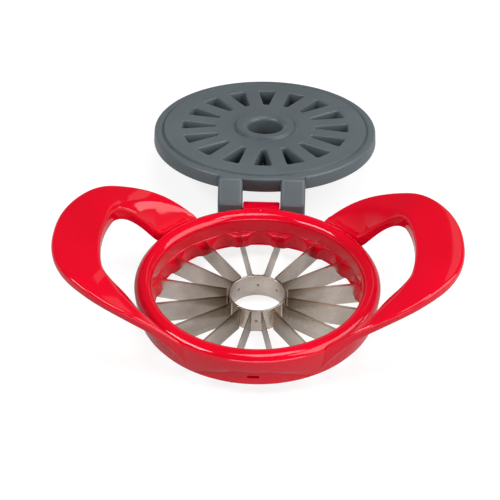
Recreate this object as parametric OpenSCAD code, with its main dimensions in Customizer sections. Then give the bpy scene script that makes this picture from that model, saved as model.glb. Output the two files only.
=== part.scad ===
// Fruit slicer and corer: a ring with two looped handles, bent double blades round
// a core tube, and a push plate that swings down on a pin and under the blades.
// Millimetres. Origin on the axis of the core tube, on the table. +Y is towards the hinge.

/* [Ring] */
// Outer diameter of the rim
ring_d = 120; // [112:1:140]
// Height of the top of the rim above the table
rim_top = 22.6; // [21.5:0.1:28]
// Radius of the rounded rim
bead_r = 4; // [3.5:0.1:4.5]
// Radial width of the blade ring's wall at its top seat
wall_w = 6; // [5:0.1:7]
// How far the blades stand below the ring
blade_stand = 3.9; // [2:0.1:5]
// How far the inside of the blade ring leans in from top to bottom
wall_lean = 2.4; // [1:0.1:3]
// Radius of the hollow in the wall of each bay
scallop_r = 14; // [12:0.5:20]
// Thickness of the skirt at its lower edge
skirt_t = 1.1; // [0.9:0.1:1.6]
// Height of the lower edge of the skirt at the sides
skirt_low = 5.6; // [5:0.1:8]
// Width of the slot that faces the catch
slot_w = 5.4; // [4:0.1:8]
// Height of the slot that faces the catch
slot_h = 1.4; // [1:0.1:2]

/* [Handles] */
// Length over both handles
handle_span = 197; // [180:1:230]
// Height of the handles above the table
handle_top = 48.4; // [44:0.1:56]
// Thickness of the handle wall
handle_t = 4.2; // [4:0.1:6]
// Radius of the rounded handle outline
handle_r = 50.5; // [48:0.5:54]
// Width of the grip at the tip
grip_w = 23.6; // [20:0.2:26]
// Radius of the curve over the grip, seen from the front
grip_r = 38; // [36:0.5:42]
// Length of the finger hole at its corners
hole_len = 60.4; // [56:0.2:64]
// Radius of the grip side of the finger hole
hole_r = 78; // [60:1:90]
// Radius of the finger hole's corners
hole_corner = 14; // [10:0.5:15]
// Angle on the ring from the handle's middle to where the finger hole ends
hole_a = 37.5; // [34:0.5:39]

/* [Blades] */
// Height of the blades and the core tube
blade_h = 12.3; // [11:0.1:12.5]
// Thickness of the blade steel
blade_t = 0.4; // [0.3:0.05:0.6]
// Outer diameter of the core tube
tube_d = 28.4; // [24:0.2:32]
// Thickness of the core tube
tube_t = 0.8; // [0.6:0.1:1.2]
// How far each blade end reaches into the wall
blade_bite = 2.2; // [1.5:0.1:2.4]

/* [Push plate] */
// Thickness of the plate
plate_t = 1.8; // [1.5:0.1:2]
// Depth of the plate's rim
plate_rim = 7.6; // [6:0.1:7.8]
// Thickness of the plate's rim
plate_wall = 1.8; // [1.5:0.1:2]
// How far the plate's rim flares at its edge
plate_flare = 0.5; // [0:0.1:0.6]
// Step between the plate's border and its raised middle
plate_step = 0.5; // [0.3:0.1:0.8]
// Width of the lower border
border_w = 4.8; // [4:0.1:6]
// Depth of the fingers below the plate's face
finger_h = 9.2; // [8.5:0.1:9.5]
// Wall of the hollow fingers
finger_wall = 1.1; // [0.9:0.1:1.3]
// Distance from the plate's axis to the inner end of a pocket
pocket_in = 27.9; // [26:0.1:30]
// Distance from the plate's axis to the outer end of a pocket
pocket_out = 46.4; // [42:0.1:46.6]
// Width of a pocket at its inner end
pocket_w_in = 3.4; // [2.5:0.1:4]
// Width of a pocket at its outer end
pocket_w_out = 10.4; // [8:0.1:11]
// Diameter of the hole in the middle of the plate
plate_hole_d = 19.2; // [16:0.2:20]
// Diameter of the collar round that hole
collar_d = 33.6; // [30:0.2:36]
// Height of that collar
collar_h = 0.9; // [0.5:0.1:1.2]
// Depth of the sleeve round that hole below the plate's face
boss_h = 12; // [5:0.1:12.4]
// Thickness of that sleeve
boss_wall = 1; // [0.8:0.1:1.4]
// How far the open plate droops from level
droop = 5.3; // [0:0.1:8]

/* [Hinge] */
// Height of the hinge axis
hinge_z = 16; // [15.5:0.1:16.5]
// Distance from the rim's outside to the hinge axis
hinge_back = 4.1; // [4:0.1:6]
// Diameter of the hinge pin
pin_d = 3; // [2.5:0.1:3.5]
// Radius of the hinge lug on the ring
lug_r = 5; // [4.5:0.1:5.2]
// Width of the hinge lug on the ring
lug_w = 19.2; // [16:0.2:22]
// Radius of the arms' round ends
arm_r = 4.1; // [3.5:0.1:4.1]
// Width of each arm
arm_w = 13; // [10:0.5:15]
// Gap between the lug and each arm
arm_gap = 0.3; // [0.2:0.05:0.5]

/* [Fits] */
// Gap where one fixed piece seats in another
seat_gap = 0.05; // [0.03:0.01:0.1]
// Radial running clearance of the hinge pin in the arms
pin_gap = 0.06; // [0.03:0.01:0.1]
// Gap left between the closed plate and the blades
plate_gap = 0.4; // [0.3:0.1:0.8]
// Gap between the closed plate's rim and the blade ring
rim_gap = 2.1; // [1.8:0.1:2.5]
// Gap between the catch and the wall that it passes
catch_gap = 0.7; // [0.6:0.1:1]

/* [Hidden] */
$fn = 128;

ring_r = ring_d / 2;
bead_c = ring_r - bead_r;                 // radius of the circle that the bead's centre runs on
bead_z = rim_top - bead_r;
strips = 8;                               // each strip makes two blades
bays = 2 * strips;
bay_a = 360 / bays;
seat_z = blade_h + 0.1;                   // top of the blade ring's seat
band_r = ring_r - 2.8;                    // outside of the blade ring
band_flare = 0.3;
seat_in = band_r - wall_w;                // inside of the blade ring at its seat
wall_low = seat_in - wall_lean;           // inside of the blade ring at its lower edge
tongue_w = 3.4;                           // tongue that locks the blade ring into the frame
tongue_drop = 2.1;                        // from the bead's centre down to the tongue's top
tongue_top = bead_z - tongue_drop;
tongue_room = 0.4;                        // space over the tongue in its groove
groove_room = 0.1;                        // space between the tongue and the groove's inner side
collar_low = seat_z + seat_gap;
tuck = 0.35;                              // how far the skirt stands in under the bead
tuck_drop = 3.6;                          // how far below the bead's centre that is
skirt_in = 1;                             // how far the skirt has tapered in at the seat's height
scallop_c = seat_in + 0.1 - scallop_r;    // distance of each scallop's axis
blade_end = seat_in + blade_bite;
tube_r = tube_d / 2;
strip_in = tube_r + 0.02;                 // inner face of a strip's base
strip_c = strip_in + blade_t / 2;

// The skirt's edge rises in an arch at the front and at the back
arch_top = seat_z - 0.2;
arch_half = 28;
arch_r = (pow(arch_half, 2) + pow(arch_top - skirt_low, 2)) / (2 * (arch_top - skirt_low));

// Each handle is part of one bowl round the ring's axis. Its section is an arc.
tip_r = handle_span / 2;
bowl_drop = 7;                            // how far the centre of the bowl's arc is below the table
bowl_out = 48;                            // how far that centre is outside the rim
bowl_r = handle_top + bowl_drop;
bowl_x = ring_r + bowl_out;
bowl_z = handle_top - bowl_r;
handle_c = tip_r - handle_r;
handle_lift = 1.6;                        // from the skirt's edge up to the handles' lowest part
handle_low = skirt_low + handle_lift;
grip_drop = 0.4;                          // how far the grip's curve stays below the handle's top
grip_top = handle_top - grip_drop;
grip_back = 8.5;                          // from the tip to where that curve is highest
grip_x = tip_r - grip_back;
hole_c = tip_r - grip_w - hole_r;
handle_in = band_r + skirt_t;             // the handles start inside the ring's wall
// Centre of each corner's arc, and the points where the arc touches the grip side and the straight side
corner_y = hole_len / 2 - hole_corner;
corner_x = hole_c + sqrt(pow(hole_r - hole_corner, 2) - pow(corner_y, 2));
corner_a = atan2(corner_y, corner_x - hole_c);
touch_grip = [hole_c + hole_r * cos(corner_a), hole_r * sin(corner_a)];
hole_end = handle_in * [cos(hole_a), sin(hole_a)];
end_out = hole_end - [corner_x, corner_y];
side_a = atan2(end_out[1], end_out[0]) - acos(hole_corner / norm(end_out));
touch_side = [corner_x + hole_corner * cos(side_a), corner_y + hole_corner * sin(side_a)];

// The plate is concentric with the ring when it is closed
hinge_y = ring_r + hinge_back;
pin_r = pin_d / 2;
face_h = hinge_z + plate_gap + plate_t;   // from the hinge axis to the plate's face
plate_in_r = band_r + band_flare + rim_gap;
plate_r = plate_in_r + plate_wall;
arm_in = lug_w / 2 + arm_gap;
arm_out = arm_in + arm_w;
elbow_out = 0.5;                          // the bend in the arms' outer side, from the arms' round ends
elbow_up = 6.4;                           // and from the hinge axis
arm_reach = 5;                            // how far the arms run on under the plate
slot_z = 8.45;
slot_depth = 2.5;
catch_t = 1.6;
catch_w = slot_w - 0.6;
catch_r = band_r + band_flare + catch_gap; // how near the catch comes to the blade ring's axis
catch_bump = 0.7;
catch_tip = 1.5;                          // how far the catch runs on past its bump

// ---- ring ----

module bead_section() {
    intersection() {
        translate([bead_c, bead_z]) circle(r = bead_r);
        translate([bead_c - bead_r, bead_z - 1]) square([2 * bead_r, bead_r + 1]);
    }
}

// The wall under the bead, with a groove for the blade ring's tongue
module wall_section() {
    groove_top = tongue_top + tongue_room;
    groove_in = band_r - tongue_w - groove_room;
    polygon([[seat_in, collar_low], [bead_c - bead_r, bead_z], [ring_r, bead_z],
             [ring_r - tuck, bead_z - tuck_drop], [ring_r - skirt_in, seat_z],
             [band_r + skirt_t, skirt_low], [band_r + seat_gap, skirt_low],
             [band_r + seat_gap, groove_top], [groove_in, groove_top],
             [groove_in, collar_low]]);
}

module skirt_arches() {
    translate([0, 0, arch_top - arch_r]) rotate([90, 0, 0])
        cylinder(r = arch_r, h = 3 * ring_r, center = true, $fn = 256);
}

// The finger hole as seen from above
module finger_hole() {
    half = [[tip_r, touch_grip[1]], touch_grip, touch_side, hole_end];
    difference() {
        intersection() {
            translate([hole_c, 0]) circle(r = hole_r);
            polygon(concat(half, [for (i = [3 : -1 : 0]) [half[i][0], -half[i][1]]]));
        }
        circle(r = handle_in);
    }
    for (side = [-1, 1]) translate([corner_x, side * corner_y]) circle(r = hole_corner);
}

// Height of the bowl's arc of radius r at a distance d from the ring's axis, and at least low
function arc_height(r, d, low) = max(low, bowl_z + sqrt(max(0, pow(r, 2) - pow(bowl_x - d, 2))));

// Height of the curve over the grip at a distance x from the middle of the part
function grip_height(x) = grip_top - grip_r + sqrt(max(0, pow(grip_r, 2) - pow(min(0, x - grip_x), 2)));

// Everything under the bowl's arc of radius r
module under_bowl(r, low) {
    steps = 12;
    first = handle_in;
    across = [for (i = [0 : steps]) first + (tip_r + 1 - first) * i / steps];
    rotate_extrude() polygon(concat([[first, -1]], [for (d = across) [d, arc_height(r, d, low)]], [[tip_r + 1, -1]]));
}

// Everything under the curve over the grip, less the thickness drop
module under_grip(drop) {
    steps = 12;
    first = grip_x - grip_r + 1;
    across = [for (i = [0 : steps]) first + (grip_x - first) * pow(i / steps, 1.4)];
    rotate([90, 0, 0]) linear_extrude(2 * handle_r + 2, center = true)
        polygon(concat([[first, -1]], [for (x = across) [x, grip_height(x) - drop]],
                       [[tip_r + 1, grip_top - drop], [tip_r + 1, -1]]));
}

module handles() {
    difference() {
        intersection() {
            union() {
                under_bowl(bowl_r, handle_low);
                for (side = [0, 180]) rotate([0, 0, side]) under_grip(0);
            }
            for (side = [0, 180]) rotate([0, 0, side]) linear_extrude(handle_top + 1)
                difference() {
                    translate([handle_c, 0]) circle(r = handle_r);
                    finger_hole();
                    circle(r = handle_in);
                }
        }
        under_bowl(bowl_r - handle_t, handle_low);
        for (side = [0, 180]) rotate([0, 0, side]) under_grip(handle_t);
    }
}

module hinge_lug() {
    rotate([90, 0, 90]) linear_extrude(lug_w, center = true) {
        translate([hinge_y, hinge_z]) circle(r = lug_r);
        polygon([[bead_c - 0.5, tongue_top + 1], [bead_c - 0.5, rim_top - 0.4], [bead_c + 2, rim_top - 0.6],
                 [hinge_y, hinge_z + lug_r], [hinge_y, hinge_z - lug_r], [band_r + 0.5, seat_z - 2],
                 [band_r + 0.5, tongue_top + 1]]);
    }
}

module handle_frame() {
    color("#d90f2d") difference() {
        union() {
            difference() {
                rotate_extrude() wall_section();
                skirt_arches();
            }
            rotate_extrude() bead_section();
            handles();
            hinge_lug();
        }
        translate([0, hinge_y, hinge_z]) rotate([0, 90, 0]) cylinder(r = pin_r + seat_gap, h = 2 * lug_w, center = true);
    }
}

module blade_ring_section() {
    polygon([[wall_low, blade_stand], [seat_in, seat_z], [band_r - tongue_w, seat_z],
             [band_r - tongue_w, tongue_top], [band_r, tongue_top], [band_r, skirt_low - 0.2],
             [band_r + band_flare, blade_stand]]);
}

module blade_slots() {
    slot_t = blade_t + 2 * seat_gap;
    for (i = [0 : bays - 1]) rotate([0, 0, 90 + (i + 0.5) * bay_a])
        translate([wall_low - 3, -slot_t / 2, 0]) cube([blade_end + 0.1 - wall_low + 3, slot_t, seat_z + 1]);
}

module scallops() {
    for (i = [0 : bays - 1]) rotate([0, 0, 90 + i * bay_a])
        translate([scallop_c, 0, 0]) cylinder(r = scallop_r, h = seat_z + 1);
}

module blade_ring() {
    color("#c80c27") difference() {
        rotate_extrude() blade_ring_section();
        scallops();
        blade_slots();
        translate([-slot_w / 2, -band_r - 1, slot_z - slot_h / 2]) cube([slot_w, slot_depth + 1, slot_h]);
    }
}

// ---- steel ----

// One strip: a flat base against the tube, and a blade from each end of it to the ring
module blade_strip(i) {
    base_half = strip_c * tan(bay_a / 2);
    bend_r = strip_c / cos(bay_a / 2);
    color("#bdb8b0") rotate([0, 0, 90 + i * 2 * bay_a]) linear_extrude(blade_h) {
        translate([strip_in, -base_half]) square([blade_t, 2 * base_half]);
        for (side = [-1, 1]) rotate(side * bay_a / 2) {
            translate([bend_r, -blade_t / 2]) square([blade_end - bend_r, blade_t]);
            translate([bend_r, 0]) circle(r = blade_t / 2);
        }
    }
}

module core_tube() {
    color("#c4c0b8") difference() {
        cylinder(r = tube_r, h = blade_h);
        translate([0, 0, -1]) cylinder(r = tube_r - tube_t, h = blade_h + 2);
    }
}

module hinge_pin() {
    color("#b5b5b5") translate([0, hinge_y, hinge_z]) rotate([0, 90, 0])
        cylinder(r = pin_r, h = 2 * arm_out - 1, center = true);
}

// ---- push plate, drawn with its hinge axis on X and its face level ----

// A tapered outline with cut corners, from one radius to another
module wedge(grow) {
    cut = 0.8;
    a = [pocket_in - grow, pocket_w_in / 2 + grow];
    b = [pocket_out + grow, pocket_w_out / 2 + grow];
    half = [[a[0], a[1] - cut], [a[0] + cut, a[1]], [b[0] - cut, b[1]], [b[0], b[1] - cut]];
    polygon(concat(half, [for (i = [3 : -1 : 0]) [half[i][0], -half[i][1]]]));
}

module plate_section() {
    bore_r = plate_hole_d / 2;
    collar_r = collar_d / 2;
    border = plate_r - border_w;
    polygon([[bore_r, -boss_h], [bore_r, collar_h - 1], [bore_r + 1, collar_h], [collar_r - 1.4, collar_h],
             [collar_r, 0], [border - 0.4, 0], [border, -plate_step], [plate_r - 0.8, -plate_step],
             [plate_r, -plate_step - 0.8], [plate_r + plate_flare, -plate_rim],
             [plate_in_r + plate_flare, -plate_rim], [plate_in_r, -plate_t], [bore_r + boss_wall, -plate_t],
             [bore_r + boss_wall, -boss_h]]);
}

module arms() {
    near = hinge_y - plate_r;             // nearest point of the plate to the hinge axis
    elbow = [-arm_r - elbow_out, elbow_up];
    for (side = [-1, 1]) translate([side * (arm_in + arm_w / 2), 0, 0]) rotate([90, 0, 90])
        linear_extrude(arm_w, center = true) {
            circle(r = arm_r);
            polygon([[-arm_r, 0], elbow, [near + 0.4, face_h - plate_step - 0.6], [near + 1, face_h - plate_step],
                     [near + plate_wall + arm_reach, face_h - plate_step],
                     [near + plate_wall + arm_reach, face_h - plate_t],
                     [near + plate_wall, face_h - plate_t - 1], [near + plate_wall, face_h - plate_rim],
                     [arm_r - 0.5, face_h - plate_rim - 1], [arm_r, 0]]);
        }
}

// A tongue on the far side of the rim, with a bump that lies at the ring's slot
module catch_tongue() {
    top = face_h - plate_t;
    low = hinge_z - slot_z - catch_tip;
    translate([-catch_w / 2, hinge_y + catch_r + catch_bump, low]) cube([catch_w, catch_t, top - low]);
    translate([0, hinge_y + catch_r + catch_bump, hinge_z - slot_z]) rotate([0, 90, 0])
        cylinder(r = catch_bump, h = catch_w - 1, center = true);
}

module plate_level() {
    difference() {
        union() {
            translate([0, hinge_y, face_h]) {
                rotate_extrude() plate_section();
                for (i = [0 : bays - 1]) rotate([0, 0, 90 + i * bay_a]) translate([0, 0, -finger_h])
                    linear_extrude(finger_h - plate_t / 2) wedge(finger_wall);
            }
            arms();
            catch_tongue();
        }
        translate([0, hinge_y, face_h]) for (i = [0 : bays - 1]) rotate([0, 0, 90 + i * bay_a])
            translate([0, 0, finger_wall - finger_h]) linear_extrude(finger_h) wedge(0);
        rotate([0, 90, 0]) cylinder(r = pin_r + pin_gap, h = 3 * arm_out, center = true);
    }
}

module push_plate() {
    color("#6c757c") translate([0, hinge_y, hinge_z]) rotate([-droop, 0, 0]) plate_level();
}

handle_frame();
blade_ring();
for (i = [1 : strips]) blade_strip(i - 1);
core_tube();
hinge_pin();
push_plate();
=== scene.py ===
import math
import bpy
import bmesh
import numpy as np
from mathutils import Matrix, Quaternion, Vector


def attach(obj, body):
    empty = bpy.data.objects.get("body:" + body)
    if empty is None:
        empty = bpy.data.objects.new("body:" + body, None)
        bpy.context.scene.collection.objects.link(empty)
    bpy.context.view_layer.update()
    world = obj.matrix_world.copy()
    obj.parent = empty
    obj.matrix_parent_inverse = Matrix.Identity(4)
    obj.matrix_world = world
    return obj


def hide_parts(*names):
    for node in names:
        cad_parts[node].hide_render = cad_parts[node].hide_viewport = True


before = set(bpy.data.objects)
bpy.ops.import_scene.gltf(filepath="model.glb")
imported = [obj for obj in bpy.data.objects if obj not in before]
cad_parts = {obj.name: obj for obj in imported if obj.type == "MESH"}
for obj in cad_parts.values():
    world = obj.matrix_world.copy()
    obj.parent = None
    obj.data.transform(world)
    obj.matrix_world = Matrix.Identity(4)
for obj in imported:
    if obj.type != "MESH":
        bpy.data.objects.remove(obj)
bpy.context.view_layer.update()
print("frame loaded:", len(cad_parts), "nodes")

# Shapes below are worked out in millimetres and put into the meshes in metres.
# x is to the right, y towards the hinge, z up from the lower edges of the blades.

# what the pieces share, from the frame
ring = dict(outer=60.0, bead=(55.6, 18.6), beadHalf=(4.4, 4.0), seatIn=51.2, seatZ=12.4,
            bandOut=57.2, standZ=3.9, skirtZ=5.6)
hinge = dict(y=64.1, z=16.0, droop=5.3, faceH=18.2)


# ---- mesh helpers ----

def softMax(a, b, k):
    # the larger of two numbers, rounded over where they are within about k of each other
    return 0.5 * (a + b + np.sqrt((a - b) ** 2 + k * k))


def softMin(a, b, k):
    return 0.5 * (a + b - np.sqrt((a - b) ** 2 + k * k))


def ease(x, low, high):
    # 0 below low, 1 above high, and an S curve between them
    t = np.clip((x - low) / (high - low), 0.0, 1.0)
    return t * t * (3 - 2 * t)


def roundedPath(corners, steps=6, closed=True):
    # a path through corners given as (a, b, radius), where each corner becomes an arc that touches both its sides
    pts = np.array([c[:2] for c in corners], float)
    count = len(pts)
    out = []
    for k in range(count):
        radius = corners[k][2]
        if radius <= 0 or (not closed and k in (0, count - 1)):
            out.append(pts[k][None])
            continue
        back, ahead = pts[k - 1] - pts[k], pts[(k + 1) % count] - pts[k]
        lb, la = np.linalg.norm(back), np.linalg.norm(ahead)
        back, ahead = back / lb, ahead / la
        half = math.acos(float(np.clip(back @ ahead, -1, 1))) / 2
        # a corner that is all but straight stays a point, and no arc takes up half of a side
        if half > 1.55:
            out.append(pts[k][None])
            continue
        reach = min(radius / math.tan(half), 0.48 * lb, 0.48 * la)
        radius = reach * math.tan(half)
        middle = back + ahead
        centre = pts[k] + middle / np.linalg.norm(middle) * radius / math.sin(half)
        a, b = pts[k] + back * reach - centre, pts[k] + ahead * reach - centre
        sweep = math.pi - 2 * half
        t = np.linspace(0, 1, steps + 1)[:, None]
        out.append(centre + (np.sin((1 - t) * sweep) * a + np.sin(t * sweep) * b) / math.sin(sweep))
    return np.concatenate(out)


def gridFaces(rows, cols, loopRows=False, loopCols=False):
    # one quad between each two neighbouring rows and columns of a grid of points
    lastRow, lastCol = rows - (not loopRows), cols - (not loopCols)
    i, j = np.meshgrid(np.arange(lastRow), np.arange(lastCol), indexing="ij")
    up, right = (i + 1) % rows, (j + 1) % cols
    return np.stack([i * cols + j, up * cols + j, up * cols + right, i * cols + right], -1).reshape(-1, 4)


def capFan(row):
    # closes a loop of points with a fan to its middle
    return np.stack([row, np.broadcast_to(row.mean(0), row.shape)])


def capped(grid):
    # a grid whose columns loop, closed at its first and last rows
    return [(grid, False, True), (capFan(grid[0]), False, True), (capFan(grid[-1]), False, True)]


def spin(path, angles):
    # a profile of (radius, height) points carried round the z axis
    c, s = np.cos(angles)[:, None], np.sin(angles)[:, None]
    heights = np.broadcast_to(path[None, :, 1], (len(angles), len(path)))
    return np.stack([path[None, :, 0] * c, path[None, :, 0] * s, heights], -1)


# distances in metres: points closer than the first are one point, and edges shorter than the second are removed
weld = dict(same=2e-6, nothing=1e-7)


def makePiece(name, patches, material, body, nodes=(), crease=38, place=None, paintedShade=None):
    # patches are (grid of points, rows loop, columns loop); they are welded where they meet
    # the last argument gives each point's share of painted shade, from 0 to 1, rising down the hollows
    verts, faces, start = [], [], 0
    for grid, loopRows, loopCols in patches:
        rows, cols = grid.shape[:2]
        verts.append(grid.reshape(-1, 3))
        faces.append(gridFaces(rows, cols, loopRows, loopCols) + start)
        start += rows * cols
    verts = np.concatenate(verts)
    if place is not None:
        verts = place(verts)
    mesh = bpy.data.meshes.new(name)
    mesh.from_pydata((verts / 1000).tolist(), [], np.concatenate(faces).tolist())
    if paintedShade is not None:
        # painted shade: each point's share of shade is stored on the mesh for the grey material
        mesh.attributes.new("paintedShade", "FLOAT", "POINT").data.foreach_set("value", paintedShade.astype(np.float32))
    work = bmesh.new()
    work.from_mesh(mesh)
    bmesh.ops.remove_doubles(work, verts=work.verts, dist=weld["same"])
    bmesh.ops.dissolve_degenerate(work, edges=work.edges, dist=weld["nothing"])
    bmesh.ops.recalc_face_normals(work, faces=work.faces)
    openEdges = sum(1 for e in work.edges if len(e.link_faces) != 2)
    work.to_mesh(mesh)
    work.free()
    mesh.shade_smooth()
    mesh.set_sharp_from_angle(angle=math.radians(crease))
    piece = bpy.data.objects.new(name, mesh)
    bpy.context.scene.collection.objects.link(piece)
    mesh.materials.append(material)
    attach(piece, body)
    if nodes:
        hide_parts(*nodes)
    print("made", name, len(mesh.polygons), "faces, open edges", openEdges)


def extruded(path, x0, x1, edge, steps=4):
    # a closed (y, z) path carried along x, drawn in along its own normals at both ends so that the edges are round
    side = np.roll(path, -1, 0) - np.roll(path, 1, 0)
    normal = np.stack([side[:, 1], -side[:, 0]], 1)
    normal /= np.maximum(np.linalg.norm(normal, axis=1), 1e-9)[:, None]
    area = 0.5 * np.sum(path[:, 0] * np.roll(path[:, 1], -1) - path[:, 1] * np.roll(path[:, 0], -1))
    if area < 0:
        normal = -normal
    t = np.linspace(0, math.pi / 2, steps + 1)
    inset = np.concatenate([edge * (1 - np.sin(t)), edge * (1 - np.sin(t[::-1]))])
    x = np.concatenate([x0 + edge * (1 - np.cos(t)), x1 - edge * (1 - np.cos(t[::-1]))])
    yz = path[None] - normal[None] * inset[:, None, None]
    grid = np.concatenate([np.broadcast_to(x[:, None, None], yz.shape[:2] + (1,)), yz], -1)
    return capped(grid)


# ---- materials ----

def newMaterial(name):
    material = bpy.data.materials.new(name)
    material.use_nodes = True
    tree = material.node_tree
    shader = tree.nodes["Principled BSDF"]
    where = tree.nodes.new("ShaderNodeTexCoord")
    return material, tree, shader, where.outputs["Object"]


def addNoise(tree, where, scale, detail=4.0, stretch=(1, 1, 1)):
    mapping = tree.nodes.new("ShaderNodeMapping")
    mapping.inputs["Scale"].default_value = stretch
    noise = tree.nodes.new("ShaderNodeTexNoise")
    noise.inputs["Scale"].default_value = scale
    noise.inputs["Detail"].default_value = detail
    tree.links.new(where, mapping.inputs["Vector"])
    tree.links.new(mapping.outputs[0], noise.inputs["Vector"])
    return noise.outputs[0]


def ramp(tree, value, stops):
    node = tree.nodes.new("ShaderNodeValToRGB")
    for k, (at, colour) in enumerate(stops):
        stop = node.color_ramp.elements[k] if k < 2 else node.color_ramp.elements.new(at)
        stop.position = at
        stop.color = (*colour, 1)
    tree.links.new(value, node.inputs[0])
    return node.outputs[0]


def spread(tree, value, low, high, fromLow=0.3, fromHigh=0.7):
    node = tree.nodes.new("ShaderNodeMapRange")
    for socket, number in (("From Min", fromLow), ("From Max", fromHigh), ("To Min", low), ("To Max", high)):
        node.inputs[socket].default_value = number
    tree.links.new(value, node.inputs["Value"])
    return node.outputs[0]


def math2(tree, how, a, b=None, clamp=False):
    node = tree.nodes.new("ShaderNodeMath")
    node.operation = how
    node.use_clamp = clamp
    for socket, value in zip(node.inputs, (a, b)):
        if value is None:
            continue
        if isinstance(value, (int, float)):
            socket.default_value = value
        else:
            tree.links.new(value, socket)
    return node.outputs[0]


def length2(tree, a, b):
    squares = [math2(tree, "MULTIPLY", side, side) for side in (a, b)]
    return math2(tree, "SQRT", math2(tree, "ADD", *squares))


def mixColour(tree, share, first, second):
    # the first colour, and the second, a fixed one, where share is 1
    mix = tree.nodes.new("ShaderNodeMix")
    mix.data_type = "RGBA"
    tree.links.new(share, mix.inputs["Factor"])
    tree.links.new(first, mix.inputs["A"])
    mix.inputs["B"].default_value = (*second, 1)
    return mix.outputs["Result"]


def axes(tree, where):
    # the x, y and z of a point
    split = tree.nodes.new("ShaderNodeSeparateXYZ")
    tree.links.new(where, split.inputs[0])
    return split.outputs


def addBump(tree, shader, height, strength, distance):
    bump = tree.nodes.new("ShaderNodeBump")
    bump.inputs["Strength"].default_value = strength
    bump.inputs["Distance"].default_value = distance
    tree.links.new(height, bump.inputs["Height"])
    tree.links.new(bump.outputs[0], shader.inputs["Normal"])


redLook = dict(deep=(0.62, 0.0, 0.012), bright=(0.76, 0.0, 0.019), rough=(0.04, 0.08), gloss=0.5)


def redPlastic():
    material, tree, shader, where = newMaterial("redPlastic")
    cloud = addNoise(tree, where, scale=14, detail=2)
    colour = ramp(tree, cloud, [(0.3, redLook["deep"]), (0.62, redLook["bright"])])
    tree.links.new(colour, shader.inputs["Base Color"])
    smear = addNoise(tree, where, scale=90, detail=5)
    tree.links.new(spread(tree, smear, *redLook["rough"]), shader.inputs["Roughness"])
    shader.inputs["Specular IOR Level"].default_value = redLook["gloss"]
    addBump(tree, shader, addNoise(tree, where, scale=180, detail=1), strength=0.03, distance=0.0002)
    return material


# hollow is the colour of the painted shade in the plate's pockets and hole and on the rim's wall
greyLook = dict(dark=(0.085, 0.104, 0.114), light=(0.108, 0.130, 0.142), hollow=(0.02, 0.023, 0.024),
                rough=(0.29, 0.39), gloss=0.4)


def greyPlastic():
    material, tree, shader, where = newMaterial("greyPlastic")
    cloud = addNoise(tree, where, scale=22, detail=3)
    colour = ramp(tree, cloud, [(0.3, greyLook["dark"]), (0.7, greyLook["light"])])
    # painted shade: the colour darkens down the hollows and on the rim's wall between the arms, by each point's share
    # of shade
    paintedShade = tree.nodes.new("ShaderNodeAttribute")
    paintedShade.attribute_name = "paintedShade"
    colour = mixColour(tree, paintedShade.outputs["Fac"], colour, greyLook["hollow"])
    tree.links.new(colour, shader.inputs["Base Color"])
    smear = addNoise(tree, where, scale=140, detail=5)
    tree.links.new(spread(tree, smear, *greyLook["rough"]), shader.inputs["Roughness"])
    shader.inputs["Specular IOR Level"].default_value = greyLook["gloss"]
    addBump(tree, shader, addNoise(tree, where, scale=1500, detail=3), strength=0.07, distance=0.0001)
    return material


steelLook = dict(dark=(0.57, 0.50, 0.43), light=(0.96, 0.87, 0.78), rough=(0.17, 0.3), grain=0.16, along=0.35)
# in metres, from the axis of the core tube
spot = dict(count=8, up=0.0064, out=0.0142, inner=0.0005225, outer=0.001045, ragged=0.0006, most=0.75,
            colour=(0.17, 0.13, 0.09), sunk=3.0)
# painted shade on the blades near the tube: where it starts, where it is full, where it fades out, its greatest share
# and its colour
paintedTubeShade = dict(start=0.0151, full=0.0155, end=0.038, most=0.7, colour=(0.24, 0.19, 0.14))


def spotMarks(tree, place, cloud):
    # 1 on the round weld marks, one in the middle of each strip's base, and 0 elsewhere
    turn = math2(tree, "ARCTAN2", place[1], place[0])
    apart = 2 * math.pi / spot["count"]
    turn = math2(tree, "FLOORED_MODULO", math2(tree, "ADD", turn, apart / 2), apart)
    across = math2(tree, "MULTIPLY", math2(tree, "SUBTRACT", turn, apart / 2), spot["out"])
    up = math2(tree, "SUBTRACT", place[2], spot["up"])
    ragged = math2(tree, "MULTIPLY", math2(tree, "SUBTRACT", cloud, 0.5), spot["ragged"])
    away = math2(tree, "ADD", length2(tree, across, up), ragged)
    return spread(tree, away, 1.0, 0.0, spot["inner"], spot["outer"])


def steel(name, welds):
    # grain lines keep one height, so they run along each blade and round the tube
    material, tree, shader, where = newMaterial(name)
    shader.inputs["Metallic"].default_value = 1.0
    shader.inputs["Anisotropic"].default_value = steelLook["along"]
    grain = addNoise(tree, where, scale=1600, detail=3, stretch=(0.02, 0.02, 2.0))
    cloud = addNoise(tree, where, scale=45, detail=4)
    both = math2(tree, "ADD", math2(tree, "MULTIPLY", grain, steelLook["grain"]),
                 math2(tree, "MULTIPLY", cloud, 1 - steelLook["grain"]))
    colour = ramp(tree, both, [(0.32, steelLook["dark"]), (0.62, steelLook["light"])])
    height = grain
    place = axes(tree, where)
    if welds:
        mark = spotMarks(tree, place, cloud)
        colour = mixColour(tree, math2(tree, "MULTIPLY", mark, spot["most"]), colour, spot["colour"])
        height = math2(tree, "SUBTRACT", grain, math2(tree, "MULTIPLY", mark, spot["sunk"]))
    # painted shade: the blades are painted a darker brown near the tube, fading away from it
    radius = length2(tree, place[0], place[1])
    rising = spread(tree, radius, 0, 1, paintedTubeShade["start"], paintedTubeShade["full"])
    fading = spread(tree, radius, paintedTubeShade["most"], 0, paintedTubeShade["full"], paintedTubeShade["end"])
    colour = mixColour(tree, math2(tree, "MULTIPLY", rising, fading), colour, paintedTubeShade["colour"])
    tree.links.new(colour, shader.inputs["Base Color"])
    tree.links.new(spread(tree, both, *steelLook["rough"]), shader.inputs["Roughness"])
    addBump(tree, shader, height, strength=0.03, distance=0.00005)
    return material


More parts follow.
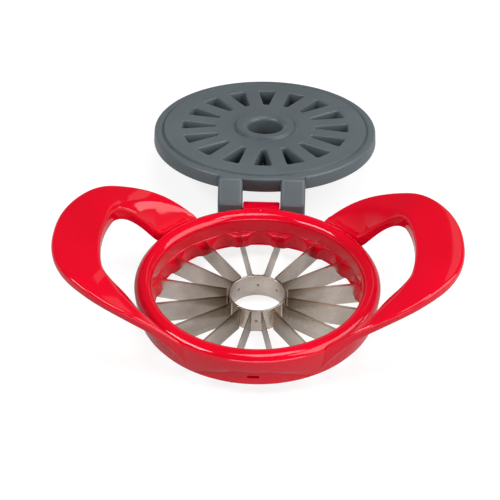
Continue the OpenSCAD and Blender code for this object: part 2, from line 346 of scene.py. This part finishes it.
red = redPlastic()
grey = greyPlastic()
# the strips are of the same steel as the tube
tubeSteel = steel("tubeSteel", welds=True)
pinSteel = steel("pinSteel", welds=False)
print("materials made")


# ---- upper moulding: rim, skirt, handles and hinge lug ----

# hold is the height above which the wall keeps its place; gate is the mould's mark on the rear of the bead
rim = dict(columns=512, archTop=12.2, archHalf=28.0, skirtT=1.1, skirtIn=57.3, seatOut=53.7, seatTop=16.9,
           tongue=12.45, hold=13.4, gate=dict(y=56.2, deep=1.3, wide=0.9))


def skirtEdge(angles):
    # height of the skirt's lower edge: an arch over the front and the back, level at the sides
    x = ring["outer"] * np.cos(angles)
    rise = rim["archTop"] - ring["skirtZ"]
    archR = (rim["archHalf"] ** 2 + rise ** 2) / (2 * rise)
    return softMax(rim["archTop"] - x * x / (2 * archR), np.full_like(x, ring["skirtZ"]), 0.7)


def rimSurface():
    # the bead is an ellipse's arc that runs on into a wall, whose lower part is squeezed up to the arched edge
    cR, cZ = ring["bead"]
    hR, hZ = ring["beadHalf"]
    t = np.radians(np.linspace(180, -6, 44))
    bead = np.stack([cR + hR * np.cos(t), cZ + hZ * np.sin(t)], 1)
    low, skirtIn, seatOut = ring["skirtZ"], rim["skirtIn"], rim["seatOut"]
    outside = [(*bead[-1], 0), (59.78, 15.6, 4.0), (59.35, 11.6, 5.0), (58.45, low, 0.45)]
    inside = [(skirtIn, low, 0.3), (skirtIn, rim["seatTop"], 0.2), (seatOut, rim["seatTop"], 0.2),
              (seatOut, rim["tongue"], 0), (ring["seatIn"], rim["tongue"], 0.3), (*bead[0], 0)]
    wall = roundedPath(outside + inside, steps=7, closed=False)
    path = np.concatenate([bead, wall[1:-1]])
    angles = np.linspace(0, 2 * math.pi, rim["columns"], endpoint=False)
    grid = spin(path, angles)
    edge = skirtEdge(angles)[:, None]
    hold, z = rim["hold"], grid[..., 2]
    squeezed = hold - (hold - z) * (hold - edge) / (hold - low)
    onSkirt = (path[:, 0] > skirtIn - 0.3)[None] & (z < hold)
    grid[..., 2] = np.where(onSkirt, squeezed, z)
    gate = rim["gate"]
    away = np.hypot(grid[..., 0], grid[..., 1] - gate["y"])
    dimple = gate["deep"] * np.exp(-(away / gate["wide"]) ** 2)
    grid[..., 2] -= np.where(grid[..., 2] > cZ, dimple, 0)
    return [(grid, True, True)]


makePiece("rim", rimSurface(), red, "frame", ["handle_frame"])

# seen from above, the outline is a rounded square about centre, and rays from eye find it and the finger hole;
# seen from the front, the handle follows the bowl's circle up to the grip's circle
handle = dict(centre=43.0, halfX=54.9, halfY=51.0, power=2.27, eye=58.0, endAngle=120.0, columns=240,
              bowlX=108.0, bowlZ=-7.1, bowlR=55.4, wall=4.3, gripTop=48.0, gripR=38.0, gripX=90.0,
              holeC=-3.1, holeR=78.0, cornerR=14.0, cornerY=16.2, sideAngle=37.5,
              rootIn=57.0, edgeOut=1.6, edgeIn=1.25, lipSlope=0.03, thick=5.4, rootThick=4.6, rib=1.4, belly=0.9,
              knob=dict(x=34.3, high=0.7, wide=1.0))


def bowlHeight(radius, inset=0.0):
    h = handle
    return h["bowlZ"] + np.sqrt(np.maximum((h["bowlR"] - inset) ** 2 - (h["bowlX"] - radius) ** 2, 0.01))


def gripHeight(x):
    h = handle
    return h["gripTop"] - h["gripR"] + np.sqrt(np.maximum(h["gripR"] ** 2 - np.minimum(0, x - h["gripX"]) ** 2, 0.01))


def outlineReach(angles):
    # how far a ray from the eye of the handle goes to its outline, a rounded square; found by halving
    h = handle
    low, high = np.full_like(angles, 5.0), np.full_like(angles, 90.0)
    for _ in range(40):
        mid = (low + high) / 2
        x = np.abs((h["eye"] - h["centre"] + mid * np.cos(angles)) / h["halfX"])
        y = np.abs(mid * np.sin(angles) / h["halfY"])
        inside = x ** h["power"] + y ** h["power"] < 1
        low, high = np.where(inside, mid, low), np.where(inside, high, mid)
    return low


def holeReach(angles):
    # the same for the finger hole: a flat arc at the grip, a round corner, and a straight side into the ring
    h = handle
    a = np.abs(angles)
    c, s = np.cos(a), np.sin(a)
    off = h["eye"] - h["holeC"]
    grip = -off * c + np.sqrt(h["holeR"] ** 2 - (off * s) ** 2)
    cornerX = h["holeC"] + math.sqrt((h["holeR"] - h["cornerR"]) ** 2 - h["cornerY"] ** 2)
    dx, dy = cornerX - h["eye"], h["cornerY"]
    along = dx * c + dy * s
    corner = along + np.sqrt(np.maximum(h["cornerR"] ** 2 - (dx * s - dy * c) ** 2, 0.0))
    endA = math.radians(h["sideAngle"])
    end = (ring["bandOut"] + rim["skirtT"]) * np.array([math.cos(endA), math.sin(endA)])
    cornerAt, eyeAt = np.array([cornerX, h["cornerY"]]), np.array([h["eye"], 0])
    reach = end - cornerAt
    sideA = math.atan2(reach[1], reach[0]) - math.acos(h["cornerR"] / math.hypot(*reach))
    normal = np.array([math.cos(sideA), math.sin(sideA)])
    touch = cornerAt + h["cornerR"] * normal
    side = ((touch - eyeAt) @ normal) / np.maximum(normal[0] * c + normal[1] * s, 1e-3)
    # the angles at which the grip's arc meets the corner, and the corner the straight side
    gripA = math.atan2(h["cornerY"], cornerX - h["holeC"])
    a1 = math.atan2(h["holeR"] * math.sin(gripA), h["holeC"] + h["holeR"] * math.cos(gripA) - h["eye"])
    a2 = math.atan2(touch[1], touch[0] - h["eye"])
    hole = np.where(a < a1, grip, np.where(a < a2, corner, side))
    # past the hole's end the inner side follows a circle inside the bead
    root = h["eye"] ** 2 * c ** 2 - h["eye"] ** 2 + h["rootIn"] ** 2
    circle = np.where((root > 0) & (c < 0), -h["eye"] * c + np.sqrt(np.maximum(root, 0)), 0)
    return np.where(circle > 0, softMax(hole, circle, 0.6), hole)


def handleSurface(side):
    # a closed cross-section carried from the front root round the grip to the rear root; its top is the lower of
    # a nearly level lip and a slope down to the finger hole, and the lip widens until it is the whole grip
    h = handle
    # the columns lie closer together over the grip
    u = np.linspace(-1, 1, h["columns"])
    angles = np.radians(h["endAngle"]) * (0.82 * u + 0.18 * u ** 3)
    outer, inner = outlineReach(angles), holeReach(angles)
    width = np.maximum(outer - inner, 0.6)
    outR, inR = np.minimum(h["edgeOut"], 0.3 * width)[:, None], np.minimum(h["edgeIn"], 0.3 * width)[:, None]
    t = np.radians(np.linspace(0, 90, 7))
    arcIn, arcUp = 1 - np.cos(t), 1 - np.sin(t)
    flat = np.linspace(0, 1, 41)[1:-1]
    # each point of the section: its share a of the edge radius, its share b of the width, and its drop from the face
    a = np.concatenate([arcIn, 1 - 2 * flat, -arcIn[::-1], -arcIn, 2 * flat - 1, arcIn[::-1]])
    b = np.concatenate([arcIn * 0, flat, arcIn * 0 + 1, arcIn * 0 + 1, 1 - flat, arcIn * 0])
    drop = np.concatenate([arcUp, flat * 0, arcUp[::-1], arcUp, flat * 0, arcUp[::-1]])
    onTop = np.arange(len(a)) < 2 * len(t) + len(flat)
    outX, outY = h["eye"] + outer * np.cos(angles), outer * np.sin(angles)
    inX, inY = h["eye"] + inner * np.cos(angles), inner * np.sin(angles)
    # the lower edge is sharper near the ring, where it runs into the skirt
    outR = np.where(onTop, outR, outR * (0.25 + 0.75 * ease(outX, 42, 64))[:, None])
    s = np.maximum(a, 0) * outR + np.minimum(a, 0) * inR + b * width[:, None]
    radius = np.where(b < 0.5, outR, inR)
    reach = outer[:, None] - s
    c, sn = np.cos(angles)[:, None], np.sin(angles)[:, None]
    x, y = h["eye"] + reach * c, reach * sn
    dist = np.hypot(x, y)
    # heights of the outer edge, with a small knob where the lip ends on the rim, and of the inner edge
    outZ = softMax(bowlHeight(np.hypot(outX, outY)), gripHeight(outX) - 0.3, 1.5)
    outZ = softMin(outZ, np.full_like(outX, h["gripTop"] - 0.2), 0.8)
    knob = h["knob"]
    outZ = outZ + knob["high"] * np.exp(-((outX - knob["x"]) / knob["wide"]) ** 2) - 0.5 * ease(outX, 45, 65)
    inZ = softMax(bowlHeight(np.hypot(inX, inY)), gripHeight(inX) - 40 * ease(-inX, -55, -48), 3.0)
    # tip is 1 over the grip; share is the part of the width that the lip takes up
    tip = ease(outX, 60, 92)[:, None]
    share = (0.09 + 0.8 * np.clip((outX - 33) / 42, 0, 1) ** 1.1 + 0.07 * ease(outX, 75, 99))[:, None]
    w, outZ, inZ = width[:, None], outZ[:, None], inZ[:, None]
    slope = (1 - tip) * h["lipSlope"] + tip * (outZ - inZ) / w
    steep = (outZ - slope * share * w - inZ) / np.maximum((1 - share) * w, 0.5)
    soft = 0.5 * (1 - 0.9 * ease(share, 0.7, 0.95))
    top = softMin(outZ - slope * s, inZ + steep * (w - s), soft)
    v = np.clip(s / w, 0, 1)
    top = top + h["belly"] * tip * 4 * v * (1 - v)
    thick = h["thick"] + h["rootThick"] * (1 - ease(dist, 59.5, 70.0)) * (1 - ease(v, 0.15, 0.75))
    under = softMax(bowlHeight(dist, h["wall"]), top - thick, 0.4)
    # a rib under the edge of the finger hole
    under = under + (top - h["thick"] - h["rib"] - under) * ease(v, 0.7, 0.9)
    z = np.where(onTop, top - drop * radius, under + drop * radius)
    grid = np.stack([side * x, y, z], -1)
    return capped(grid)


makePiece("handleRight", handleSurface(1), red, "frame", ["handle_frame"])
makePiece("handleLeft", handleSurface(-1), red, "frame", ["handle_frame"])

# the lug widens towards the rim from flareFrom forwards
lug = dict(half=9.6, round=0.8, radius=5.0, flare=0.3, flareFrom=57.9, flareRun=2.3)


def lugSurface():
    # the lug's side outline, with a round back about the pin, carried across
    hy, hz, r = hinge["y"], hinge["z"], lug["radius"]
    t = np.radians(np.linspace(80, -100, 26))
    back = np.stack([hy + r * np.cos(t), hz + r * np.sin(t)], 1)
    front = roundedPath([(57.6, 10.9, 0), (56.2, 12.8, 1.0), (55.2, 20.2, 1.0), (57.0, 21.9, 1.2),
                         (60.5, 21.6, 3.0), (hy + 0.5, hz + r, 0)], steps=6, closed=False)
    patches = extruded(np.concatenate([back, front[:-1]]), -lug["half"], lug["half"], lug["round"])
    for grid, _, _ in patches:
        run = np.clip((lug["flareFrom"] - grid[..., 1]) / lug["flareRun"], 0, 1.25)
        grid[..., 0] *= 1 + lug["flare"] * run ** 2
    return patches


makePiece("hingeLug", lugSurface(), red, "frame", ["handle_frame"])

# ---- lower moulding: scalloped wall and band ----

lower = dict(bays=16, perBay=28, wallLow=48.8, scallopR=9.5, rise=1.8, blend=0.22, slotHalf=2.7, slotZ=(7.75, 9.15),
             slotDeep=1.8, tongueIn=53.8, tongueTop=16.5)


def lowerSurface():
    # the inner radius is the larger of a leaning wall and a round hollow in each bay; the band has one small window
    w = lower
    bay = 2 * math.pi / w["bays"]
    base = np.linspace(0, 2 * math.pi, w["bays"] * w["perBay"], endpoint=False)
    front = 1.5 * math.pi
    half = w["slotHalf"] / ring["bandOut"]
    # angles just inside, just outside and a little past each end of the window
    nearEdge = np.concatenate([front + sgn * (half + np.array([-0.0008, 0.0008, 0.004])) for sgn in (-1, 1)])
    angles = np.sort(np.concatenate([base, nearEdge]))
    # down the wall: a rounded upper edge, the wall and a rounded lower edge, and how far out each point is drawn
    seatZ, standZ, foot = ring["seatZ"], ring["standZ"], 0.5
    upper, lowerArc = np.linspace(0.3, 1.5, 4), np.linspace(0.2, 1.5, 5)
    zs = np.linspace(seatZ, standZ + foot, 14)[1:]
    innerZ = np.concatenate([[seatZ], seatZ - 0.25 * (1 - np.cos(upper)), zs, standZ + foot * (1 - np.sin(lowerArc))])
    innerIn = np.concatenate([[0.35], 0.3 * (1 - np.sin(upper)), 0 * zs, foot * (1 - np.cos(lowerArc))])
    share = (innerZ - standZ) / (seatZ - standZ)
    lean = w["wallLow"] + (ring["seatIn"] - w["wallLow"]) * share ** w["rise"]
    phi = (angles + bay / 2) % bay - bay / 2
    centre = ring["seatIn"] + 0.1 - w["scallopR"]
    hollow = centre * np.cos(phi) + np.sqrt(w["scallopR"] ** 2 - (centre * np.sin(phi)) ** 2)
    innerR = softMax(lean[None], hollow[:, None], w["blend"]) + innerIn[None]
    slotLow, slotHigh = w["slotZ"]
    band, bandLow, tongueIn, tongueTop = ring["bandOut"], 6.6, w["tongueIn"], w["tongueTop"]
    outer = roundedPath([(tongueIn, seatZ, 0), (tongueIn, tongueTop, 0.2), (band, tongueTop, 0.2), (band, 9.4, 0)],
                        steps=4, closed=False)
    bandZ = np.array([9.2, slotHigh + 0.04, slotHigh - 0.04, 8.8, 8.1, slotLow + 0.04, slotLow - 0.04, 7.6, bandLow])
    face = np.stack([np.full_like(bandZ, band), bandZ], 1)
    under = roundedPath([(band, bandLow, 0), (57.5, standZ, 0.6), (50.5, standZ, 0)], steps=6, closed=False)
    path = np.concatenate([outer, face, under[1:]])
    rest = spin(path, angles)
    atSlot = (path[:, 1] < slotHigh) & (path[:, 1] > slotLow) & (path[:, 0] > band - 0.2)
    inSlot = (np.abs(angles - front) < half)[:, None] & atSlot[None]
    rest[..., :2] *= np.where(inSlot, (band - w["slotDeep"]) / band, 1.0)[..., None]
    inner = np.stack([innerR * np.cos(angles)[:, None], innerR * np.sin(angles)[:, None],
                      np.broadcast_to(innerZ[None], innerR.shape)], -1)
    grid = np.concatenate([inner[:, ::-1], rest], 1)
    return [(grid, True, True)]


makePiece("bladeRing", lowerSurface(), red, "frame", ["blade_ring"])
print("mouldings made")

# ---- steel: strips, tube and pin ----

blade = dict(count=16, height=12.3, thick=0.4, ground=1.1, tip=0.09, tubeR=14.2, tubeWall=0.8, gap=0.02,
             end=53.3, bend=1.1)


def stripSurface(number):
    # a thin section with a ground top edge, carried along one blade, over the base and along the other blade
    b = blade
    half = math.pi / b["count"]
    mid = b["tubeR"] + b["gap"] + b["thick"] / 2
    baseHalf = mid * math.tan(half)
    far = b["end"]
    endX, endY = far * math.cos(half), far * math.sin(half)
    line = roundedPath([(endX, -endY, 0), (mid, -baseHalf, b["bend"]), (mid, baseHalf, b["bend"]), (endX, endY, 0)],
                       steps=8, closed=False)
    # more points along the blades
    cut = np.linspace(0, 1, 13)[1:-1, None]
    first, last = line[0] + (line[1] - line[0]) * cut, line[-2] + (line[-1] - line[-2]) * cut
    line = np.concatenate([line[:1], first, line[1:-1], last, line[-1:]])
    run = np.gradient(line, axis=0)
    normal = np.stack([run[:, 1], -run[:, 0]], 1) / np.linalg.norm(run, axis=1)[:, None]
    t, g, tip, high = b["thick"] / 2, b["height"] - b["ground"], b["tip"] / 2, b["height"]
    section = np.array([(-t, 0.0), (-t, 3.0), (-t, 6.5), (-t, g - 0.2), (-t, g), (-tip, high),
                        (tip, high), (t, g), (t, g - 0.2), (t, 6.5), (t, 3.0), (t, 0.0)])
    flat = line[:, None] + normal[:, None] * section[None, :, :1]
    turn = math.pi / 2 + number * 4 * half
    c, s = math.cos(turn), math.sin(turn)
    x, y = flat[..., 0] * c - flat[..., 1] * s, flat[..., 0] * s + flat[..., 1] * c
    grid = np.stack([x, y, np.broadcast_to(section[None, :, 1], x.shape)], -1)
    return capped(grid)


for number in range(blade["count"] // 2):
    makePiece(f"bladeStrip{number + 1}", stripSurface(number), tubeSteel, "frame",
              [f"blade_strip_{number + 1}"], crease=3)


def tubeSurface():
    out, high = blade["tubeR"], blade["height"]
    bore = out - blade["tubeWall"]
    path = roundedPath([(out, 0, 0.12), (out, high, 0.15), (bore, high, 0.2), (bore, 0, 0.12)], steps=4)
    return [(spin(path, np.linspace(0, 2 * math.pi, 160, endpoint=False)), True, True)]


makePiece("coreTube", tubeSurface(), tubeSteel, "frame", ["core_tube"])

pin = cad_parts["hinge_pin"]
pin.data.materials.clear()
pin.data.materials.append(pinSteel)
print("steel made")

# ---- push plate ----

# counts are the points along the outer arc, one side, the inner arc and the other side of each sixteenth
plate = dict(bays=16, pocketIn=27.9, pocketOut=46.4, halfIn=1.3, halfOut=5.05, innerR=18.4, outerR=55.8,
             thick=1.8, fingerH=9.2, pocketFloor=8.1, holeR=9.6, holeFlare=3.7, sleeveR=10.6, sleeveZ=-12,
             rimOut=61.0, counts=(24, 34, 12, 34))


def plateToRest(points):
    # from the plate's own level frame, centred on its face, to where it stands open on its hinge
    a = math.radians(hinge["droop"])
    c, s = math.cos(a), math.sin(a)
    y, z = points[:, 1] + hinge["y"], points[:, 2] + hinge["faceH"]
    return np.stack([points[:, 0], hinge["y"] + y * c + z * s, hinge["z"] - y * s + z * c], 1)


def ends(n):
    # n steps from 0 to 1, closer together near both ends
    return (1 - np.cos(np.linspace(0, math.pi, n + 1))) / 2


def pocketOutline(grow, corner):
    # a wedge with round corners, grown outwards; the points follow the four sides in the sector's own order
    p = plate
    a0, a1 = p["pocketIn"] - grow, p["pocketOut"] + grow
    b0, b1 = max(p["halfIn"] + grow, 0.2), p["halfOut"] + grow
    corner = max(min(corner, 0.8 * b0), 0.05)
    steps = 16
    dense = roundedPath([(a1, -b1, corner), (a1, b1, corner), (a0, b0, corner), (a0, -b0, corner)], steps)
    # the middle of each corner's arc starts a side
    starts = [k * (steps + 1) + steps // 2 for k in range(4)]
    out = []
    for k, n in enumerate(p["counts"]):
        start, stop = starts[k], starts[(k + 1) % 4]
        part = dense[start:stop + 1] if stop > start else np.concatenate([dense[start:], dense[:stop + 1]])
        length = np.concatenate([[0], np.cumsum(np.hypot(*np.diff(part, axis=0).T))])
        want = ends(n)[:-1] * length[-1]
        out.append(np.stack([np.interp(want, length, part[:, 0]), np.interp(want, length, part[:, 1])], 1))
    return np.concatenate(out)


def sectorOutline():
    # the edge of one sixteenth of the plate between two circles
    p = plate
    half = math.pi / p["bays"]
    out, span = p["outerR"], p["innerR"] - p["outerR"]
    t0, t1, t2, t3 = (ends(n)[:-1] for n in p["counts"])
    ang = np.concatenate([-half + 2 * half * t0, half + 0 * t1, half - 2 * half * t2, -half + 0 * t3])
    rad = np.concatenate([out + 0 * t0, out + span * t1, p["innerR"] + 0 * t2, p["innerR"] - span * t3])
    return np.stack([rad * np.cos(ang), rad * np.sin(ang)], 1)


def sectorRows(rows, baseZ):
    # rings of points from the sector's edge to the wedge's, then over the wedge's own rows of (grow, corner, height)
    edge = sectorOutline()
    first = pocketOutline(rows[0][0], rows[0][1])

    def ringAt(flat, z):
        return np.concatenate([flat, np.full((len(edge), 1), z)], 1)

    levels = [ringAt(edge + (first - edge) * share, baseZ) for share in (0, 0.35, 0.65, 0.85)]
    levels += [ringAt(pocketOutline(grow, corner), z) for grow, corner, z in rows]
    last = levels[-1].copy()
    last[:, 0] = np.clip(last[:, 0], plate["pocketIn"] + 2.5, plate["pocketOut"] - 3.5)
    last[:, 1] = 0
    levels.append(last)
    return np.stack(levels)


def turned(grid, count):
    # copies of a grid turned round the z axis
    out = []
    for k in range(count):
        a = math.pi / 2 + 2 * math.pi * k / count
        c, s = math.cos(a), math.sin(a)
        x, y, z = (grid[..., k] for k in range(3))
        out.append((np.stack([x * c - y * s, x * s + y * c, z], -1), False, True))
    return out


def arcAngles(n):
    half = math.pi / plate["bays"]
    one = -half + 2 * half * ends(n)[:-1]
    return np.concatenate([math.pi / 2 + 2 * half * k + one for k in range(plate["bays"])])


def plateSurface():
    # the top and the underside are sixteen sectors each, joined by a turned edge and a turned middle
    p = plate
    t, f, d = p["thick"], p["pocketFloor"], p["fingerH"]
    top = sectorRows([(0.95, 1.9, 0), (0.62, 1.6, -0.07), (0.3, 1.3, -0.3), (0.09, 1.1, -0.62), (0, 1.0, -1.0),
                      (-0.5, 0.9, -3.2), (-1.3, 0.8, -f + 0.9), (-1.5, 0.7, -f + 0.35), (-1.75, 0.5, -f + 0.05),
                      (-2.1, 0.3, -f)], 0.0)
    under = sectorRows([(1.55, 2.4, -t), (1.3, 2.2, -t - 0.1), (1.15, 2.1, -t - 0.45), (1.05, 2.0, -t - 2.5),
                        (0.9, 1.9, -d + 0.9), (0.72, 1.7, -d + 0.3), (0.35, 1.4, -d + 0.04), (0.0, 1.1, -d)], -t)
    # the sleeve round the hole, the hole's flared mouth, and the collar with its groove
    inner, hole, out, deep, mouthZ = p["innerR"], p["holeR"], p["sleeveR"], p["sleeveZ"], -1.9
    sleeve = roundedPath([(inner - 1, -t, 0), (out, -t, 0.6), (out, deep, 0.3), (hole, deep, 0.3), (hole, mouthZ, 0)],
                         steps=4, closed=False)
    s = np.radians(np.linspace(0, 90, 9))[1:]
    mouth = np.stack([hole + p["holeFlare"] * (1 - np.cos(s)), mouthZ + 2.9 * np.sin(s)], 1)
    collar = roundedPath([(13.6, 1.0, 0), (15.9, 1.15, 0.4), (16.7, -0.75, 0.25), (inner, 0, 0)],
                         steps=5, closed=False)
    middle = np.concatenate([[(inner, -t)], sleeve, mouth, collar])
    r0 = p["outerR"]
    edge = roundedPath([(r0, 0, 0), (56.2, 0, 0.5), (56.8, -1.8, 0.3), (58.2, -0.7, 0.9), (61.7, -0.45, 1.5),
                        (62.2, -7.9, 0.6), (60.25, -7.9, 0.5), (59.65, -t, 0.8), (r0, -t, 0)], steps=7, closed=False)
    parts = turned(top, p["bays"]) + turned(under, p["bays"])
    parts.append((spin(middle, arcAngles(p["counts"][2])), True, False))
    parts.append((spin(edge, arcAngles(p["counts"][0])), True, False))
    return parts


# where the painted shade falls: how far below the face it starts and the depth over which it deepens, and on the
# rim's wall how strong it is, between which depths, and between which distances from the middle
shadow = dict(pocket=(1.0, 5.0), hole=(2.0, 6.0), wall=0.9, wallDown=(0.6, 1.6), wallAside=(9, 24))


def paintedShadeShare(parts):
    # painted shade: rises to 1 down the pockets and the centre hole, and to less on the rim's wall between the arms
    count = plate["bays"]

    def below(z, start, run):
        return np.clip((-start - z) / run, 0, 1)

    out = [below(grid[..., 2].ravel(), *shadow["pocket"]) for grid, _, _ in parts[:count]]
    out += [np.zeros(grid.shape[0] * grid.shape[1]) for grid, _, _ in parts[count:2 * count]]
    middle, edge = (grid.reshape(-1, 3) for grid, _, _ in parts[2 * count:])
    inHole = np.hypot(middle[:, 0], middle[:, 1]) < plate["holeR"] + 0.4
    out.append(inHole * below(middle[:, 2], *shadow["hole"]))
    wall = (np.hypot(edge[:, 0], edge[:, 1]) > plate["rimOut"]) & (edge[:, 1] < 0)
    down, aside = ease(-edge[:, 2], *shadow["wallDown"]), ease(np.abs(edge[:, 0]), *shadow["wallAside"])
    out.append(shadow["wall"] * wall * down * (1 - aside))
    return np.concatenate(out)


# the plate gets painted shade down its pockets and hole and on the rim's wall between the arms
parts = plateSurface()
makePiece("pushPlate", parts, grey, "plate", ["push_plate"], crease=50, place=plateToRest,
          paintedShade=paintedShadeShare(parts))

arm = dict(inner=9.9, width=13.0, round=1.9, radius=4.1, meets=61.4)


def armSurface(side):
    # the arm's side outline: round about the pin, up the back of the rim, and leaning out to the plate's border
    r, face, near = arm["radius"], hinge["faceH"], hinge["y"] - arm["meets"]
    t = np.radians(np.linspace(0, -180, 28))
    eye = np.stack([r * np.cos(t), r * np.sin(t)], 1)
    rest = roundedPath([(-r, 0, 0), (-r - 0.5, 6.4, 3.2), (near + 0.2, face - 1.0, 1.6),
                        (near + 2.6, face - 0.52, 1.3), (near + 5.5, face - 0.9, 0), (near + 5.5, face - 2.4, 0.3),
                        (near + 2.2, face - 3.4, 1.0), (near + 1.8, face - 7.7, 0.6), (r - 0.4, face - 8.6, 0.8),
                        (r, 0, 0)], steps=7, closed=False)
    path = np.concatenate([eye, rest[1:-1]]) - np.array([hinge["y"], face])[None]
    x0 = arm["inner"] if side > 0 else -arm["inner"] - arm["width"]
    return extruded(path, x0, x0 + arm["width"], arm["round"], steps=5)


for side, name in ((1, "armRight"), (-1, "armLeft")):
    makePiece(name, armSurface(side), grey, "plate", ["push_plate"], place=plateToRest)


catch = dict(near=58.9, far=60.5, low=-12.1, high=-1.6, bumpUp=2.4, bumpR=0.7, half=2.4, round=0.3)


def catchSurface():
    # a flat tongue with a round bump on the side towards the ring
    y0, y1, low, high, r = (catch[key] for key in ("near", "far", "low", "high", "bumpR"))
    t = np.radians(np.linspace(-70, 70, 9))
    bump = np.stack([y0 + 0.1 - r * np.cos(t), low + catch["bumpUp"] - r * np.sin(t)], 1)
    tongue = roundedPath([(y0, low + 1, 0), (y0, low, 0.4), (y1, low, 0.4), (y1, high, 0)], steps=5, closed=False)
    path = np.concatenate([[(y0, high)], bump, tongue])
    return extruded(path, -catch["half"], catch["half"], catch["round"], steps=3)


makePiece("catch", catchSurface(), grey, "plate", ["push_plate"], place=plateToRest)
print("push plate made")

# ---- floor, light and camera ----

# metres from here on; glow is the floor as the camera sees it, and mirrored the part of it that reflections see
studio = dict(floor=2.5, floorZ=-0.0036, paper=0.3, dull=0.9, glow=0.8, mirrored=0.32,
              overhead=0.09, horizon=0.6, bandLow=0.08, bandHigh=0.3)


def makeFloor():
    # the floor lies just below the closed plate, which hangs lower than the blades
    half, z = studio["floor"], studio["floorZ"]
    mesh = bpy.data.meshes.new("floor")
    mesh.from_pydata([(-half, -half, z), (half, -half, z), (half, half, z), (-half, half, z)], [], [(0, 1, 2, 3)])
    floor = bpy.data.objects.new("floor", mesh)
    bpy.context.scene.collection.objects.link(floor)
    material, tree, shader, _ = newMaterial("floorPaper")
    shader.inputs["Base Color"].default_value = (*[studio["paper"]] * 3, 1)
    shader.inputs["Roughness"].default_value = studio["dull"]
    shader.inputs["Specular IOR Level"].default_value = 0.0
    path = tree.nodes.new("ShaderNodeLightPath")
    mirrored = math2(tree, "MULTIPLY", path.outputs["Is Glossy Ray"], studio["mirrored"])
    seen = math2(tree, "ADD", path.outputs["Is Camera Ray"], mirrored)
    seen = math2(tree, "ADD", seen, path.outputs["Is Transmission Ray"], clamp=True)
    shader.inputs["Emission Color"].default_value = (1, 1, 1, 1)
    tree.links.new(math2(tree, "MULTIPLY", seen, studio["glow"]), shader.inputs["Emission Strength"])
    mesh.materials.append(material)


def areaLight(name, at, aim, size, power):
    data = bpy.data.lights.new(name, "AREA")
    data.shape = "RECTANGLE"
    data.size, data.size_y = size
    data.energy = power
    light = bpy.data.objects.new(name, data)
    bpy.context.scene.collection.objects.link(light)
    light.location = at
    light.rotation_mode = "QUATERNION"
    light.rotation_quaternion = (Vector(aim) - Vector(at)).to_track_quat("-Z", "Y")
    light.visible_camera = False


lamps = dict(
    softboxLeft=dict(at=(-0.62, -0.2, 0.72), aim=(0, 0.03, 0.02), size=(0.6, 0.25), power=4.6),
    softboxRight=dict(at=(0.72, -0.1, 0.62), aim=(0, 0.03, 0.02), size=(1.1, 0.75), power=8.4),
    softboxTop=dict(at=(0.1, -0.1, 0.98), aim=(0, 0.03, 0.02), size=(0.5, 0.4), power=3.2),
    fillFront=dict(at=(0.08, -0.44, 0.05), aim=(0, 0, 0.015), size=(0.5, 0.08), power=0.5),
    softboxRear=dict(at=(0.28, 0.8, 0.6), aim=(-0.08, 0, 0.04), size=(0.13, 0.3), power=0.06))

makeFloor()
for name, lamp in lamps.items():
    areaLight(name, **lamp)

world = bpy.data.worlds.new("studio")
world.use_nodes = True
bpy.context.scene.world = world
tree = world.node_tree
path = tree.nodes.new("ShaderNodeLightPath")
seen = math2(tree, "ADD", path.outputs["Is Camera Ray"], path.outputs["Is Transmission Ray"], clamp=True)
# in reflections the room is dark overhead and pale near the horizon
aimed = axes(tree, tree.nodes.new("ShaderNodeTexCoord").outputs["Generated"])
band = spread(tree, aimed[2], studio["horizon"], 0.0, studio["bandLow"], studio["bandHigh"])
room = math2(tree, "ADD", band, studio["overhead"])
strength = math2(tree, "MAXIMUM", seen, room)
tree.nodes["Background"].inputs["Color"].default_value = (1, 1, 1, 1)
tree.links.new(strength, tree.nodes["Background"].inputs["Strength"])

# angles in degrees, lens and film in millimetres
view = dict(distance=0.65, up=36.9, side=1.9, roll=0.33, lens=97.64, film=36, target=(-0.0037, 0.0, 0.0384))
cameraData = bpy.data.cameras.new("camera")
cameraData.lens = view["lens"]
cameraData.sensor_width = view["film"]
camera = bpy.data.objects.new("camera", cameraData)
bpy.context.scene.collection.objects.link(camera)
upA, sideA, rollA = (math.radians(view[key]) for key in ("up", "side", "roll"))
back = Vector((math.sin(sideA) * math.cos(upA), -math.cos(sideA) * math.cos(upA), math.sin(upA)))
camera.location = Vector(view["target"]) + back * view["distance"]
camera.rotation_mode = "QUATERNION"
camera.rotation_quaternion = (-back).to_track_quat("-Z", "Y") @ Quaternion((0, 0, 1), rollA)
bpy.context.scene.camera = camera
bpy.context.scene.view_settings.view_transform = "Standard"
print("stage made")
